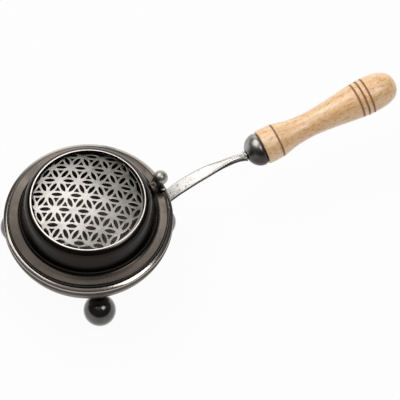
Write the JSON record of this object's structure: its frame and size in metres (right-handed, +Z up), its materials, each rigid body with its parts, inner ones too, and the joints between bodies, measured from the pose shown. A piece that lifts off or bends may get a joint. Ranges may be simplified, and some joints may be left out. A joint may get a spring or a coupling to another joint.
{
  "type": "hand censer",
  "caption": "Round footed metal bowl with a hinged flared cover holding a domed lattice grille, on a forged strap handle with a turned wooden grip.",
  "frame": {"origin": "centre of the bowl's flat underside, on the bowl's axis; the ball feet stand 8 mm lower", "axes": "+X along the handle away from the bowl, +Z up, the hinge pin parallel to Y at the handle side"},
  "size_m": [0.26, 0.1048, 0.0672],
  "materials": {
    "dark_steel": "blackened satin",
    "black_ball": "glossy black",
    "grille_steel": "brushed",
    "strap_steel": "forged and polished",
    "satin_steel": "satin",
    "thumb_steel": "satin",
    "grip_wood": "turned, clear finish"
  },
  "bodies": {
    "bowl_and_handle": {"bowl": "dark_steel", "foot_ball_under_handle": "black_ball", "foot_ball_rear": "black_ball", "foot_ball_front": "black_ball", "foot_spacer_under_handle": "satin_steel", "foot_spacer_rear": "satin_steel", "foot_spacer_front": "satin_steel", "foot_screw_under_handle": "satin_steel", "foot_screw_rear": "satin_steel", "foot_screw_front": "satin_steel", "hinge_bracket": "dark_steel", "hinge_pin": "satin_steel", "strap": "strap_steel", "strap_rivet_left": "satin_steel", "strap_rivet_right": "satin_steel", "ferrule": "satin_steel", "wooden_grip": "grip_wood"},
    "hinged_cover": {"cover": "dark_steel", "grille": "grille_steel", "grille_lug_near_hinge": "dark_steel", "grille_lug_rear": "dark_steel", "grille_lug_front": "dark_steel", "hinge_leaf": "dark_steel", "leaf_rivet_left": "satin_steel", "leaf_rivet_right": "satin_steel", "thumb_ball": "thumb_steel"}
  },
  "joints": [
    {"name": "cover_hinge", "type": "hinge", "parent": "bowl_and_handle", "child": "hinged_cover", "pos_m": [0.0475, 0, 0.0392], "axis": [0, 1, 0], "range_deg": [0, 95]}
  ]
}
